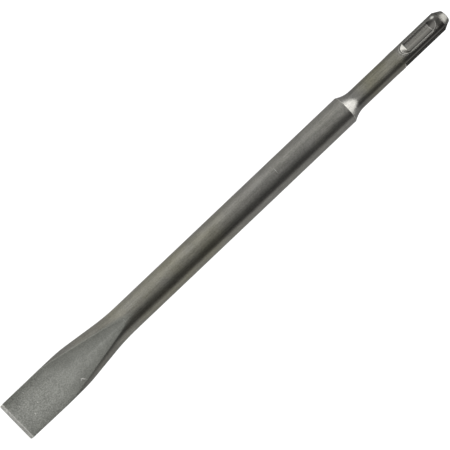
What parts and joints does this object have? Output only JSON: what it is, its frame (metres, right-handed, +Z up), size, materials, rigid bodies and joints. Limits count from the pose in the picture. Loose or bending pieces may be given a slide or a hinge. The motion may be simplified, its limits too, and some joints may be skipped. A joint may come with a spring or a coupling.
{
  "type": "flat chisel for a rotary hammer",
  "caption": "One-piece forged flat chisel: spread wedge blade with a ground edge, round body, hollow shoulder and a grooved round shank for a rotary hammer.",
  "frame": {"origin": "middle of the bottom of the bounding box: under the long axis, half-way between the cutting edge and the striking face, on the surface that the chisel lies on", "axes": "+X along the chisel from the cutting edge to the striking face, +Y across the blade, +Z up, square to the blade's middle plane"},
  "size_m": [0.265, 0.0204, 0.014],
  "materials": {
    "steel": "forged and blasted dark tool steel, satin, with ground bevels at the cutting edge"
  },
  "bodies": {
    "root": {"chisel": "steel"}
  },
  "joints": []
}
